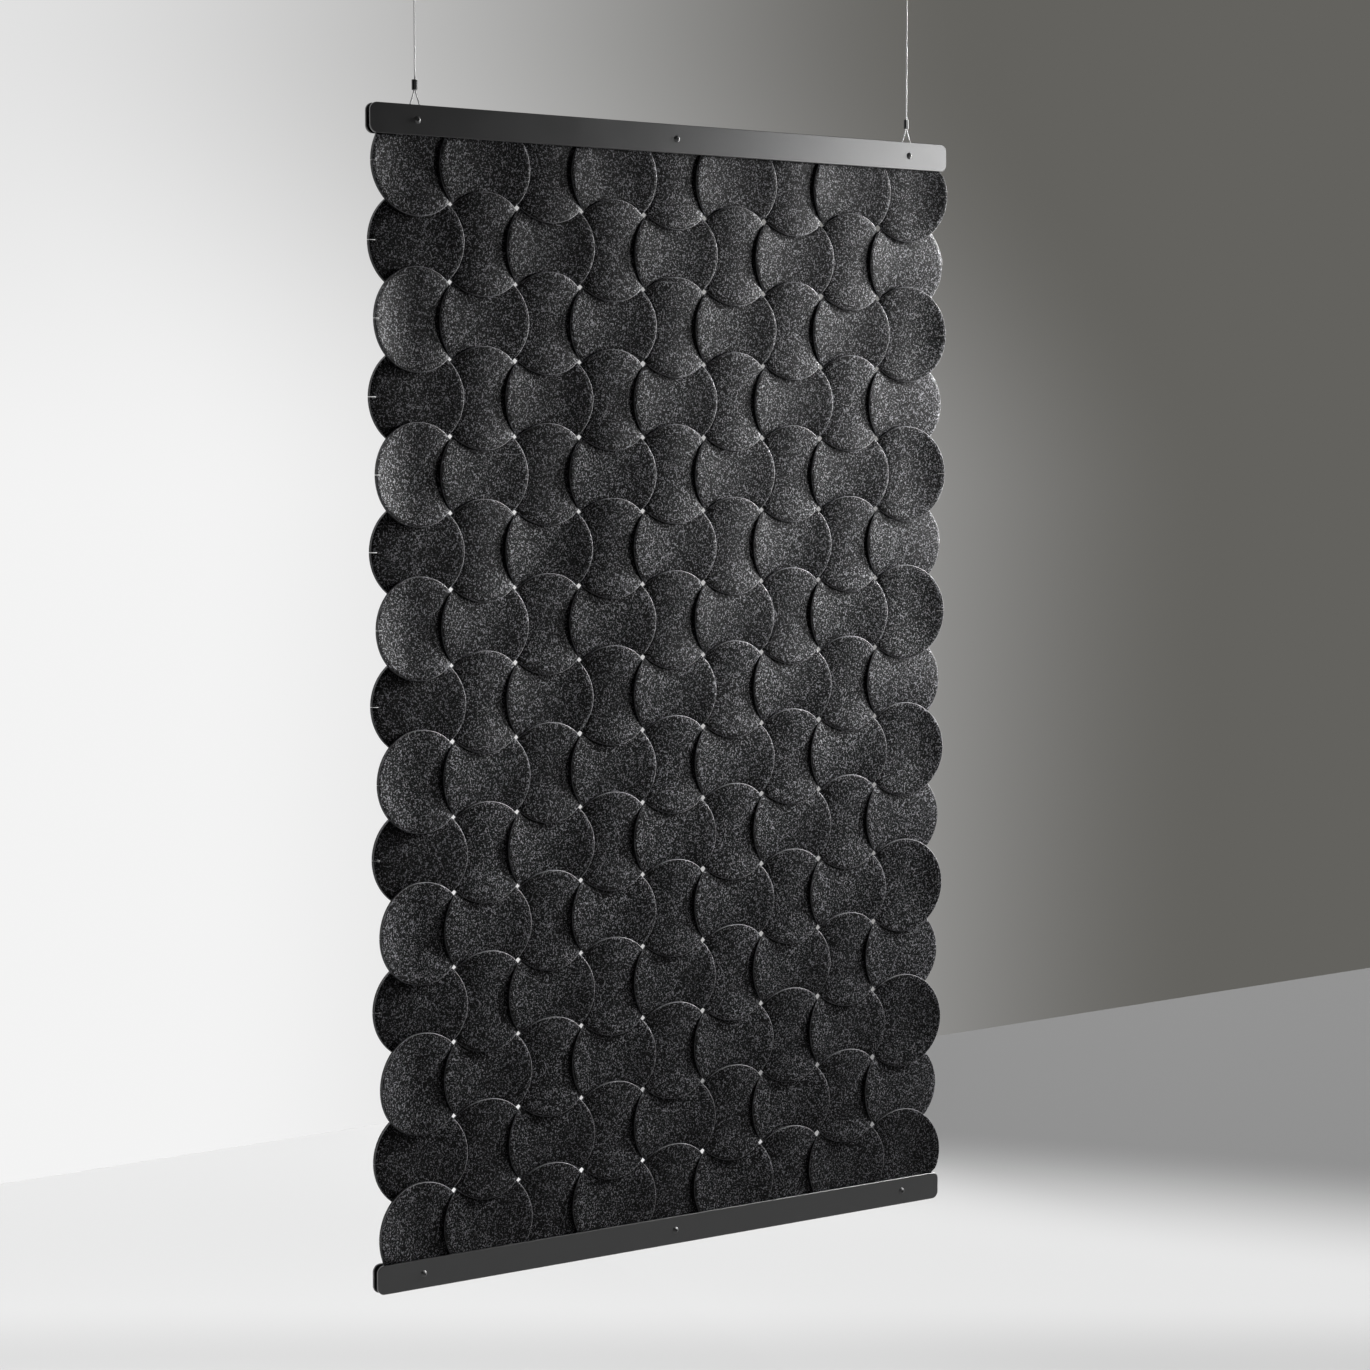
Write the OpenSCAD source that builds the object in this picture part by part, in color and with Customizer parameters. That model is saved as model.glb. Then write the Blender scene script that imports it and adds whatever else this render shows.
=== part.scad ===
// Hanging felt panel: round felt discs woven over and under each other, clamped
// at top and bottom between pairs of flat bars, and hung on two wires.
// Millimetres. The front faces -Y, +Z is up, and the origin lies on the ceiling,
// midway between the two ceiling fittings.

/* [Curtain] */
// Distance between disc centres, across and down
pitch = 80; // [76:1:90]
// How far one disc laps over the next
lap = 29; // [24:1:30]
// Thickness of the felt
felt_t = 5; // [4:0.5:6]
// Room between two woven layers of felt
weave_gap = 0.4; // [0.3:0.1:1]
// Discs across the curtain
columns = 9; // [5:2:11]
// How strongly the free flap of an upright disc curls forward, where a woven flap has 1
front_curl = 1.8; // [1:0.1:2.4]
// How strongly the free flap of a crosswise disc bends back
back_curl = 0.4; // [0.1:0.1:1]
// Length of the keyhole slit in the free edge of an outer disc
slit_l = 8.5; // [6:0.5:10]
// Width of the slit
slit_w = 1.2; // [0.8:0.1:1.6]
// Diameter of the hole that ends the slit
slit_hole_d = 3.2; // [2.4:0.2:4]

/* [Bars] */
// Height of a bar
bar_h = 31; // [30:1:44]
// How far a bar reaches past the outer discs
bar_overhang = 0; // [0:1:12]
// Thickness of one bar plate
plate_t = 3; // [2:0.5:5]
// Gap between the front and back plates
plate_gap = 6.4; // [6.4:0.2:9]
// Corner radius of a plate, seen from the front
bar_corner_r = 8; // [4:1:12]
// Bevel along the edges of a plate
bar_bevel = 0.5; // [0.2:0.1:0.9]
// How deep the end discs reach between the plates
bite = 26.5; // [24:0.5:29]

/* [Fasteners] */
// Shank diameter of the cap screws
screw_d = 4; // [3:0.5:4.5]
// Diameter of the domed screw head
head_d = 7.6; // [6.6:0.2:9]
// Height of the screw head
head_h = 2.2; // [1.8:0.1:3]
// Hexagon socket in the head, across its flats
socket_af = 2.5; // [2:0.5:3]
// Depth of the hexagon socket
socket_depth = 1.3; // [0.8:0.1:1.6]
// Outer diameter of the tubes that keep the plates apart
spacer_d = 8; // [7:0.5:10]

/* [Suspension] */
// Diameter of the hanging wire
wire_d = 1.5; // [1.2:0.1:1.5]
// Height from the top bar's screws to the ball at the ceiling
wire_drop = 190; // [120:5:600]
// Outer diameter of the bush that the wire loop carries
bush_d = 7; // [6.4:0.2:7.4]
// Bore of that bush, loose on the screw so that the panel can tilt
bush_bore_d = 4.8; // [4.8:0.1:5.2]
// Play of the bush between the plates, at each end
bush_play = 0.5; // [0.4:0.1:0.8]
// Width of the ferrule that closes the loop
ferrule_w = 6.5; // [5.5:0.1:8]
// Thickness of the ferrule, front to back
ferrule_t = 4; // [3:0.1:5]
// Length of the ferrule
ferrule_h = 10.5; // [9:0.5:14]
// Height of the ferrule's lower end above the screws
ferrule_rise = 31; // [31:0.5:31.5]

/* [Ceiling fitting] */
// Outer diameter of the ceiling fitting
fitting_d = 20; // [18:1:30]
// Height of the ceiling fitting
fitting_h = 24; // [24:1:40]
// Thickness of the flange against the ceiling
flange_t = 2.5; // [2:0.5:4]
// Diameter of the spigot that the cup screws onto
spigot_d = 14; // [12:1:16]
// Length of that spigot below the flange
spigot_h = 6.5; // [5:0.5:8]
// Hole for the ceiling screw
fixing_d = 4.5; // [3.5:0.5:5.5]
// Thickness of the cup's floor, where the ball sits
cup_floor_t = 3; // [3:0.5:4]
// Diameter of the ball on the wire
ball_d = 5; // [4.6:0.1:5.6]

/* [Hidden] */
rows = 15;
slip = 0.1;
clear = 0.3;
round_fn = 48;
felt_color = [0.15, 0.15, 0.155];
bar_color = [0.09, 0.09, 0.095];
screw_color = [0.13, 0.13, 0.14];
steel_color = [0.72, 0.72, 0.74];
black_color = [0.04, 0.04, 0.04];

// Weave: two discs lap in a lens, whose corners lie lens_angle from the line of centres
disc_r = (pitch + lap) / 2;
lens_angle = acos(pitch / 2 / disc_r);
ring_r = disc_r / 2;
bend = 2 * (felt_t + weave_gap) / (pitch * pitch);
ring_count = 8;
rim_per_quarter = 5;
rim_count = 4 * rim_per_quarter;

// Ceiling fitting and ball seat
seat_depth = 1.3;
seat_r = ball_d / 2 - 0.8;
seat_mouth_r = seat_r + seat_depth;
outlet_depth = 0.7;
outlet_flare = 1.1;
ball_z = -fitting_h + cup_floor_t - seat_mouth_r + (ball_d / 2 + slip) * sqrt(2);
cup_round_r = 2;
stop_r = 1.7;
stop_h = 1.8;
stop_gap = 0.2;
stop_rise = ball_d / 2 + stop_gap;
ball_sway = 10;

// Heights, from the ceiling down
screw_z = ball_z - wire_drop;
top_edge_z = screw_z - bar_h / 2;
first_row_z = top_edge_z + bite - disc_r;
last_row_z = first_row_z - (rows - 1) * pitch;
low_edge_z = last_row_z - disc_r + bite;
low_screw_z = low_edge_z - bar_h / 2;

// Widths
hang_x = (columns - 1) / 2 * pitch;
bar_w = 2 * (hang_x + disc_r + bar_overhang);
middle = (columns - 1) / 2;
plate_y = plate_gap / 2;
screw_play = 0.15;
thread_play = 0.03;
screw_hole_r = screw_d / 2 + screw_play;
thread_hole_r = screw_d / 2 + thread_play;
spacer_hole_r = spacer_d / 2 + clear;

// Wire, as [x, z] from the screw's axis: up one leg of the loop and on to the ceiling
loop_leg = [
    [0.9, 31], [1.5, 28], [2.8, 24], [4.2, 20], [5.6, 16], [6.9, 12],
    [7.9, 8], [8.2, 4], [7.6, 0.6], [5.8, -2.2], [3.2, -4]
];
loop_turns = len(loop_leg);
loop_low = [0, -4.6];
loop_end = [-0.9, 40];
rise = [[0.9, 42], [0.5, 45], [0, 49]];
leg_x = loop_leg[0][0];
wire_top = [0, wire_drop + stop_rise + stop_h];
wire_route = concat(
    [loop_end],
    [for (p = loop_leg) [-p[0], p[1]]],
    [loop_low],
    [for (i = [1:loop_turns]) loop_leg[loop_turns - i]],
    rise,
    [wire_top]
);
wire_sides = 8;
loop_window_r = 11.5;
loop_window_rise = 3.4;

function upright(row, col) = (row + col) % 2 == 0;
function kind_name(kind) = kind == 0 ? "upright" : "crosswise";
function row_name(row, kind) =
    str("row_", row < 9 ? "0" : "", row + 1, "_", kind_name(kind), "_discs");

// A disc's four flaps are listed right, top, left, bottom: 1 bends to the front,
// -1 to the back, and 0 stays flat where the bars clamp it. A free flap curls by its own value.
function flaps(row, col) =
    let (
        side = upright(row, col) ? -1 : 1,
        free = side < 0 ? front_curl : -back_curl,
        right = col == columns - 1 ? free : side,
        left = col == 0 ? free : side,
        top = row == 0 ? 0 : -side,
        bottom = row == rows - 1 ? 0 : -side
    )
    [right, top, left, bottom];

// A flap rises with the square of the distance from the disc's middle, as a bent sheet
function flap_rise(curl, distance) = curl * bend * distance * distance;

function polar(radius, angle) = [radius * cos(angle), radius * sin(angle)];

function ring_point(signs, k) =
    let (
        p = polar(ring_r, 45 * k),
        here = signs[floor(k / 2)],
        next = signs[ceil(k / 2) % 4],
        reach = k % 2 == 0 ? ring_r : ring_r * cos(45)
    )
    [p[0], flap_rise((here + next) / 2, reach), p[1]];

// Rim points: the flap's tip, halfway, the lens corner, the next lens corner, halfway
function rim_point(signs, i) =
    let (
        quarter = floor(i / rim_per_quarter),
        step = i % rim_per_quarter,
        off = [0, lens_angle / 2, lens_angle, -lens_angle, -lens_angle / 2][step],
        flap = step < 3 ? quarter : (quarter + 1) % 4,
        p = polar(disc_r, 90 * (step < 3 ? quarter : quarter + 1) + off)
    )
    [p[0], flap_rise(signs[flap], disc_r * cos(off)), p[1]];

function skin_points(signs, shift) = [
    for (k = [0:ring_count - 1]) let (p = ring_point(signs, k)) [p[0], shift - p[1], p[2]],
    for (i = [0:rim_count - 1]) let (p = rim_point(signs, i)) [p[0], shift - p[1], p[2]]
];

// One skin of a disc, as triangles that run anticlockwise seen from the front
skin_faces = [
    [1, 3, 5], [1, 5, 7],
    for (k = [0:2:6]) [(k + 7) % 8, k, k + 1],
    for (q = [0:3])
        let (
            k0 = 2 * q,
            k1 = k0 + 1,
            k2 = (k0 + 2) % 8,
            r = [for (s = [0:rim_per_quarter]) ring_count + (rim_per_quarter * q + s) % rim_count]
        )
        each [
            [k0, r[0], r[1]], [k0, r[1], k1], [k1, r[1], r[2]], [k1, r[2], r[3]],
            [k1, r[3], r[4]], [k1, r[4], k2], [k2, r[4], r[5]]
        ]
];

module woven_disc(signs) {
    skin = ring_count + rim_count;
    rim_faces = [
        for (i = [0:rim_count - 1])
            let (a = ring_count + i, b = ring_count + (i + 1) % rim_count)
            each [[a, b, b + skin], [a, b + skin, a + skin]]
    ];
    polyhedron(
        points = concat(skin_points(signs, -felt_t / 2), skin_points(signs, felt_t / 2)),
        faces = concat(
            [for (f = skin_faces) [f[2], f[1], f[0]]],
            [for (f = skin_faces) [f[0] + skin, f[1] + skin, f[2] + skin]],
            rim_faces
        )
    );
}

// The keyhole slit in an outer disc's free edge: side is -1 on the left and 1 on the right
module keyhole(side) {
    depth = 4 * felt_t;
    translate([side * (disc_r - slit_l / 2), 0, 0])
        cube([slit_l + slit_w, depth, slit_w], center = true);
    translate([side * (disc_r - slit_l), 0, 0])
        rotate([90, 0, 0])
            cylinder(h = depth, d = slit_hole_d, center = true, $fn = 12);
}

// The room an end disc may fill: all of it below the bar's edge, and only the gap beyond
module clamp_room(edge_z, up) {
    big = 3 * disc_r;
    gap = plate_gap - 2 * slip;
    translate([-big / 2, -big / 2, up > 0 ? edge_z - clear - big : edge_z + clear])
        cube([big, big, big]);
    translate([-big / 2, -gap / 2, edge_z - big / 2])
        cube([big, gap, big]);
}

module across_y(height, radius) {
    rotate([90, 0, 0])
        cylinder(h = height, r = radius, center = true, $fn = round_fn);
}

module disc_at(row, col) {
    x = (col - middle) * pitch;
    z = first_row_z - row * pitch;
    at_screw = col == 0 || col == middle || col == columns - 1;
    translate([x, 0, z])
        difference() {
            intersection() {
                woven_disc(flaps(row, col));
                if (row == 0)
                    clamp_room(top_edge_z - z, 1);
                else if (row == rows - 1)
                    clamp_room(low_edge_z - z, -1);
                else
                    cube(3 * disc_r, center = true);
            }
            if (col == 0)
                keyhole(-1);
            if (col == columns - 1)
                keyhole(1);
            if (row == 0 && col == middle)
                translate([0, 0, screw_z - z])
                    across_y(2 * plate_gap, spacer_hole_r);
            if (row == 0 && at_screw && col != middle)
                translate([0, 0, screw_z - z])
                    loop_window();
            if (row == rows - 1 && at_screw)
                translate([0, 0, low_screw_z - z])
                    across_y(2 * plate_gap, spacer_hole_r);
        }
}

// Where the wire loop hangs between the plates the felt is cut away
module loop_window() {
    translate([0, 0, loop_window_rise]) {
        across_y(2 * plate_gap, loop_window_r);
        translate([-loop_window_r, -plate_gap, 0])
            cube([2 * loop_window_r, 2 * plate_gap, disc_r]);
    }
}

module row_discs(row, kind) {
    color(felt_color)
        for (col = [0:columns - 1])
            if (upright(row, col) == (kind == 0))
                disc_at(row, col);
}

// A flat plate with round corners and bevelled edges, its inner face on the plane y = 0
module bar_plate() {
    w = bar_w / 2;
    h = bar_h / 2;
    r = bar_corner_r;
    b = bar_bevel;
    for (x = [-1, 1], z = [-1, 1])
        translate([x * (w - r), 0, z * (h - r)])
            rotate([90, 0, 0])
                rotate_extrude($fn = round_fn)
                    polygon([[0, 0], [r - b, 0], [r, b], [r, plate_t - b], [r - b, plate_t], [0, plate_t]]);
    rotate([90, 0, 90])
        linear_extrude(height = 2 * (w - r), center = true)
            polygon(bevelled(h, b));
    linear_extrude(height = 2 * (h - r), center = true)
        polygon([for (p = bevelled(w, b)) [p[1], p[0]]]);
}

// Cross-section of a plate: thickness to the front, half height up and down
function bevelled(half, b) = [
    [0, b - half], [-b, -half], [b - plate_t, -half], [-plate_t, b - half],
    [-plate_t, half - b], [b - plate_t, half], [-b, half], [0, half - b]
];

module drilled_plate(z, hole_r, side) {
    color(bar_color)
        difference() {
            translate([0, side * plate_y, z])
                rotate([0, 0, side > 0 ? 180 : 0])
                    bar_plate();
            for (x = [-hang_x, 0, hang_x])
                translate([x, side * (plate_y + plate_t / 2), z])
                    across_y(2 * plate_t, hole_r);
        }
}

module top_front_plate() { drilled_plate(screw_z, screw_hole_r, -1); }

module top_back_plate() { drilled_plate(screw_z, thread_hole_r, 1); }

module bottom_front_plate() { drilled_plate(low_screw_z, screw_hole_r, -1); }

module bottom_back_plate() { drilled_plate(low_screw_z, thread_hole_r, 1); }

// A domed cap screw with its head towards -Y and the head's underside on y = 0
module cap_screw() {
    shank_l = plate_gap + 2 * plate_t;
    dome_r = (head_d * head_d / 4 + head_h * head_h) / (2 * head_h);
    difference() {
        union() {
            rotate([-90, 0, 0])
                cylinder(h = shank_l, d = screw_d, $fn = round_fn);
            intersection() {
                rotate([90, 0, 0])
                    cylinder(h = head_h, d = head_d, $fn = round_fn);
                translate([0, dome_r - head_h, 0])
                    sphere(r = dome_r, $fn = round_fn);
            }
        }
        translate([0, -head_h - slip, 0])
            rotate([-90, 0, 0])
                cylinder(h = socket_depth + slip, d = socket_af / cos(30), $fn = 6);
    }
}

module screws(z) {
    color(screw_color)
        for (x = [-hang_x, 0, hang_x])
            translate([x, -plate_y - plate_t, z])
                cap_screw();
}

module top_screws() { screws(screw_z); }

module bottom_screws() { screws(low_screw_z); }

// A tube round a screw that keeps the two plates apart
module spacer(x, z) {
    color(steel_color)
        translate([x, 0, z])
            difference() {
                across_y(plate_gap, spacer_d / 2);
                across_y(plate_gap + 1, screw_hole_r);
            }
}

module top_spacer() { spacer(0, screw_z); }

module bottom_spacers() {
    for (x = [-hang_x, 0, hang_x])
        spacer(x, low_screw_z);
}

// The loose bush that a wire loop carries, with a little play all round
module bush(x) {
    color(steel_color)
        translate([x, 0, screw_z])
            difference() {
                across_y(plate_gap - 2 * bush_play, bush_d / 2);
                across_y(plate_gap, bush_bore_d / 2);
            }
}

module left_bush() { bush(-hang_x); }

module right_bush() { bush(hang_x); }

function unit(v) = v / norm(v);

// A round tube along a flat route of [x, z] points, square to the route at each point
module swept_wire(route, radius) {
    last = len(route) - 1;
    headings = [
        for (i = [0:last])
            i == 0 ? unit(route[1] - route[0])
            : i == last ? unit(route[last] - route[last - 1])
            : unit(unit(route[i + 1] - route[i]) + unit(route[i] - route[i - 1]))
    ];
    points = [
        for (i = [0:last])
            for (k = [0:wire_sides - 1])
                let (a = 360 * (k + 0.5) / wire_sides, t = headings[i])
                [
                    route[i][0] - t[1] * radius * cos(a),
                    radius * sin(a),
                    route[i][1] + t[0] * radius * cos(a)
                ]
    ];
    walls = [
        for (i = [0:last - 1])
            for (k = [0:wire_sides - 1])
                let (
                    a = i * wire_sides + k,
                    b = i * wire_sides + (k + 1) % wire_sides
                )
                each [[a, b, b + wire_sides], [a, b + wire_sides, a + wire_sides]]
    ];
    start_cap = [for (k = [1:wire_sides - 2]) [0, k + 1, k]];
    end_cap = [for (k = [1:wire_sides - 2]) let (e = last * wire_sides) [e, e + k, e + k + 1]];
    polyhedron(points = points, faces = concat(walls, start_cap, end_cap));
}

module wire(x) {
    color(steel_color)
        translate([x, 0, screw_z])
            swept_wire(wire_route, wire_d / 2);
}

module left_wire() { wire(-hang_x); }

module right_wire() { wire(hang_x); }

// The oval ferrule pressed round both runs of the wire, with a bore for each
module ferrule(x) {
    end_r = ferrule_t / 2;
    flat = ferrule_w - ferrule_t;
    bore_r = wire_d / 2 + slip / 2;
    color(black_color)
        translate([x, 0, screw_z + ferrule_rise])
            difference() {
                union() {
                    for (s = [-1, 1])
                        translate([s * flat / 2, 0, 0])
                            cylinder(h = ferrule_h, r = end_r, $fn = round_fn);
                    translate([-flat / 2, -end_r, 0])
                        cube([flat, ferrule_t, ferrule_h]);
                }
                for (s = [-1, 1])
                    translate([s * leg_x, 0, -slip])
                        cylinder(h = ferrule_h + 2 * slip, r = bore_r, $fn = round_fn);
            }
}

module left_ferrule() { ferrule(-hang_x); }

module right_ferrule() { ferrule(hang_x); }

// The button on the wire's upper end, which stops the ball
module wire_stop(x) {
    color(steel_color)
        translate([x, 0, ball_z + stop_rise])
            difference() {
                cylinder(h = stop_h, r = stop_r, $fn = round_fn);
                translate([0, 0, -slip])
                    cylinder(h = stop_h + 2 * slip, r = wire_d / 2 + slip / 2, $fn = round_fn);
            }
}

module left_wire_stop() { wire_stop(-hang_x); }

module right_wire_stop() { wire_stop(hang_x); }

// The ball that sits in the cup, its bore flared so that the wire can lean in it
module ball(x) {
    neck_r = wire_d / 2 + slip;
    reach = ball_d / 2 + slip;
    mouth_r = neck_r + reach * tan(ball_sway);
    color(steel_color)
        translate([x, 0, ball_z])
            difference() {
                sphere(d = ball_d, $fn = round_fn);
                cylinder(h = reach, r1 = neck_r, r2 = mouth_r, $fn = round_fn);
                translate([0, 0, -reach])
                    cylinder(h = reach, r1 = mouth_r, r2 = neck_r, $fn = round_fn);
            }
}

module left_ball() { ball(-hang_x); }

module right_ball() { ball(hang_x); }

// The part of the ceiling fitting that is screwed to the ceiling
module ceiling_base(x) {
    total = flange_t + spigot_h;
    sink = fixing_d / 2;
    color(steel_color)
        translate([x, 0, -total])
            rotate_extrude($fn = round_fn)
                polygon([
                    [2 * sink, 0], [spigot_d / 2, 0], [spigot_d / 2, spigot_h],
                    [fitting_d / 2, spigot_h], [fitting_d / 2, total],
                    [fixing_d / 2, total], [fixing_d / 2, sink]
                ]);
}

module left_ceiling_base() { ceiling_base(-hang_x); }

module right_ceiling_base() { ceiling_base(hang_x); }

// The cup that screws onto the base: a hollow with a coned seat and a flared outlet
module ceiling_cup(x) {
    bore_r = spigot_d / 2 + slip;
    lip_z = -flange_t;
    floor_z = -fitting_h + cup_floor_t;
    round_x = fitting_d / 2 - cup_round_r;
    round_z = -fitting_h + cup_round_r;
    color(steel_color)
        translate([x, 0, 0])
            rotate_extrude($fn = round_fn)
                polygon([
                    [seat_r + outlet_flare, -fitting_h], [round_x, -fitting_h],
                    for (a = [-75:15:0])
                        [round_x + cup_round_r * cos(a), round_z + cup_round_r * sin(a)],
                    [fitting_d / 2, lip_z], [bore_r, lip_z], [bore_r, floor_z],
                    [seat_mouth_r, floor_z], [seat_r, floor_z - seat_depth],
                    [seat_r, -fitting_h + outlet_depth]
                ]);
}

module left_ceiling_cup() { ceiling_cup(-hang_x); }

module right_ceiling_cup() { ceiling_cup(hang_x); }

top_front_plate();
top_back_plate();
bottom_front_plate();
bottom_back_plate();
top_screws();
bottom_screws();
top_spacer();
bottom_spacers();
left_bush();
right_bush();
left_wire();
right_wire();
left_ferrule();
right_ferrule();
left_wire_stop();
right_wire_stop();
left_ball();
right_ball();
left_ceiling_base();
right_ceiling_base();
left_ceiling_cup();
right_ceiling_cup();
for (row = [0:rows - 1])
    for (kind = [0, 1])
        row_discs(row, kind);
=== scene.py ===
"""Hanging felt panel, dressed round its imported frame. Metres; the front faces -Y and +Z is up."""

import math

import bpy
import numpy as np
from mathutils import Matrix, Vector


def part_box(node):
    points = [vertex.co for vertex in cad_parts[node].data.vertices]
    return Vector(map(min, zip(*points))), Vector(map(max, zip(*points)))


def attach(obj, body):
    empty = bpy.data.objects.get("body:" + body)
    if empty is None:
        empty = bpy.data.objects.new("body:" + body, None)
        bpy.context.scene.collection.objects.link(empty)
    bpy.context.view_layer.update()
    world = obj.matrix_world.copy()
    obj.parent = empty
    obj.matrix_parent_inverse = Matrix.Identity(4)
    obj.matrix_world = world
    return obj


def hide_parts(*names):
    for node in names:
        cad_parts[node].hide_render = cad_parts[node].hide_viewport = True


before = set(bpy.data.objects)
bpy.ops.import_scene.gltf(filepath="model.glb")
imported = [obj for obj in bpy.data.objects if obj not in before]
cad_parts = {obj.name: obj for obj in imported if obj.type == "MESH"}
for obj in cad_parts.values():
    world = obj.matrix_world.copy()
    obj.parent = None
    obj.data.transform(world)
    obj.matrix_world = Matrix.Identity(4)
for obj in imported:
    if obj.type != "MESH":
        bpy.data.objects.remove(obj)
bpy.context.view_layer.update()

# Camera
# It stands left of the panel and a little above its middle, and looks down at it slightly. Its lens and
# its sensor are in millimetres.
CAMERA_PLACE = (-1.7954, -2.7034, -0.5540)
CAMERA_TURN = math.radians(33.818)
CAMERA_DIP = math.radians(4.441)
CAMERA_ROLL = math.radians(0.089)
CAMERA_LENS = 77.45
CAMERA_SENSOR = 36.0
CAMERA_REACH = 60.0

camera = bpy.data.objects.new("camera", bpy.data.cameras.new("camera"))
bpy.context.scene.collection.objects.link(camera)
bpy.context.scene.camera = camera
camera.data.sensor_width = CAMERA_SENSOR
camera.data.lens = CAMERA_LENS
camera.data.clip_end = CAMERA_REACH
ahead = Vector(
    (
        math.sin(CAMERA_TURN) * math.cos(CAMERA_DIP),
        math.cos(CAMERA_TURN) * math.cos(CAMERA_DIP),
        -math.sin(CAMERA_DIP),
    )
)
level_right = Vector((math.cos(CAMERA_TURN), -math.sin(CAMERA_TURN), 0.0))
level_up = level_right.cross(ahead)
right = math.cos(CAMERA_ROLL) * level_right + math.sin(CAMERA_ROLL) * level_up
up = right.cross(ahead)
turn = Matrix((right, up, -ahead)).transposed().to_4x4()
camera.matrix_world = Matrix.Translation(CAMERA_PLACE) @ turn


# Hanging wires
# Each is 1.5 mm stranded steel rope. It starts at its cut end in the ferrule, goes down between the top
# bar's plates, round the bush on the outer screw, up again and on through the ball to its stop.
WIRE_D = 0.0015
WIRE_STEP = 0.0005
WIRE_SIDES = 18
CURVE_STEPS = 24
STRANDS = 6
STRAND_DEPTH = 0.09
STRAND_LAY = 0.009
SHARP_FROM = math.radians(50)
# Points of the route, across and up from the outer screw's axis, in millimetres
LOOP_LEG = [
    (0.9, 31), (1.5, 28), (2.8, 24), (4.2, 20), (5.6, 16), (6.9, 12),
    (7.9, 8), (8.2, 4), (7.6, 0.6), (5.8, -2.2), (3.2, -4),
]
LOOP_LOW = (0, -4.6)
LOOP_END = (-0.9, 40)
RISE = [(0.9, 42), (0.5, 45), (0, 49)]
WIRE_TOP = (0, 194.5)


def new_piece(name, points, faces):
    """A mesh object of points and faces, with smooth faces and sharp edges where they turn steeply."""
    mesh = bpy.data.meshes.new(name)
    mesh.from_pydata(points, [], faces)
    mesh.polygons.foreach_set("use_smooth", np.ones(len(mesh.polygons), bool))
    mesh.set_sharp_from_angle(angle=SHARP_FROM)
    mesh.update()
    piece = bpy.data.objects.new(name, mesh)
    bpy.context.scene.collection.objects.link(piece)
    return piece


def grid_faces(rings, around):
    """Quads between neighbouring rings of a grid that closes on itself, numbered ring by ring."""
    ring, side = np.meshgrid(np.arange(rings - 1), np.arange(around), indexing="ij")
    here, beside = ring * around + side, ring * around + (side + 1) % around
    return np.stack([here, here + around, beside + around, beside], -1).reshape(-1, 4)


def smooth_route(points, step):
    """A curve through the points: between two of them, a cubic whose slope at each is half the way from
    the point before to the point after. It comes back as points a step apart, and its length."""
    ends = np.concatenate([[2 * points[0] - points[1]], points, [2 * points[-1] - points[-2]]])
    before, start, end, after = (p[:, None, :] for p in (ends[:-3], ends[1:-2], ends[2:-1], ends[3:]))
    t = np.linspace(0, 1, CURVE_STEPS, endpoint=False)[None, :, None]
    curve = 0.5 * (
        2 * start
        + (end - before) * t
        + (2 * before - 5 * start + 4 * end - after) * t**2
        + (3 * start - before - 3 * end + after) * t**3
    )
    curve = np.concatenate([curve.reshape(-1, points.shape[1]), points[-1:]])
    run = np.concatenate([[0], np.cumsum(np.linalg.norm(np.diff(curve, axis=0), axis=1))])
    even = np.linspace(0, run[-1], int(run[-1] / step) + 1)
    return np.stack([np.interp(even, run, curve[:, k]) for k in range(curve.shape[1])], 1), run[-1]


def rope_mesh(name, route):
    """A rope along a route in a plane of constant Y. At distance s along it and angle a round it, the
    radius dips between the strands by the size of cos(strands / 2 * (a - 2 pi s / lay))."""
    heading = np.gradient(route, axis=0)
    heading /= np.linalg.norm(heading, axis=1, keepdims=True)
    side = np.stack([-heading[:, 2], np.zeros(len(route)), heading[:, 0]], 1)
    run = np.arange(len(route))[:, None] * WIRE_STEP
    angle = np.linspace(0, 2 * math.pi, WIRE_SIDES, endpoint=False)[None, :]
    wave = np.abs(np.cos(STRANDS / 2 * (angle - 2 * math.pi * run / STRAND_LAY)))
    radius = WIRE_D / 2 * (1 - STRAND_DEPTH * (1 - wave))
    points = (
        route[:, None, :]
        + (radius * np.cos(angle))[..., None] * side[:, None, :]
        + (radius * np.sin(angle))[..., None] * np.array([0.0, 1.0, 0.0])
    ).reshape(-1, 3)
    faces = grid_faces(len(route), WIRE_SIDES)[:, ::-1].tolist()
    first = list(range(WIRE_SIDES))
    last = [len(points) - WIRE_SIDES + k for k in range(WIRE_SIDES)]
    return new_piece(name, points, faces + [first, last[::-1]])


def new_material(name, colour, roughness, metallic=0.0):
    """A material with its own Principled shader, and its node tree."""
    material = bpy.data.materials.new(name)
    material.use_nodes = True
    tree = material.node_tree
    shader = tree.nodes["Principled BSDF"]
    shader.inputs["Base Color"].default_value = (*colour, 1.0)
    shader.inputs["Roughness"].default_value = roughness
    shader.inputs["Metallic"].default_value = metallic
    return material, tree, shader


def add_node(tree, kind, values=None, **settings):
    """A node with its settings and its unlinked input values."""
    node = tree.nodes.new(kind)
    for key, value in settings.items():
        setattr(node, key, value)
    for key, value in (values or {}).items():
        node.inputs[key].default_value = value
    return node


def feed(tree, given, socket):
    """Links another node's output to an input socket, or sets a plain value on it."""
    if isinstance(given, bpy.types.NodeSocket):
        tree.links.new(given, socket)
    else:
        socket.default_value = given


def reckoned(tree, operation, *values):
    """Joins some sockets and numbers by Math nodes of one operation, from the first to the last."""
    result = values[0]
    for value in values[1:]:
        node = add_node(tree, "ShaderNodeMath", operation=operation)
        feed(tree, result, node.inputs[0])
        feed(tree, value, node.inputs[1])
        result = node.outputs[0]
    return result


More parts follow.
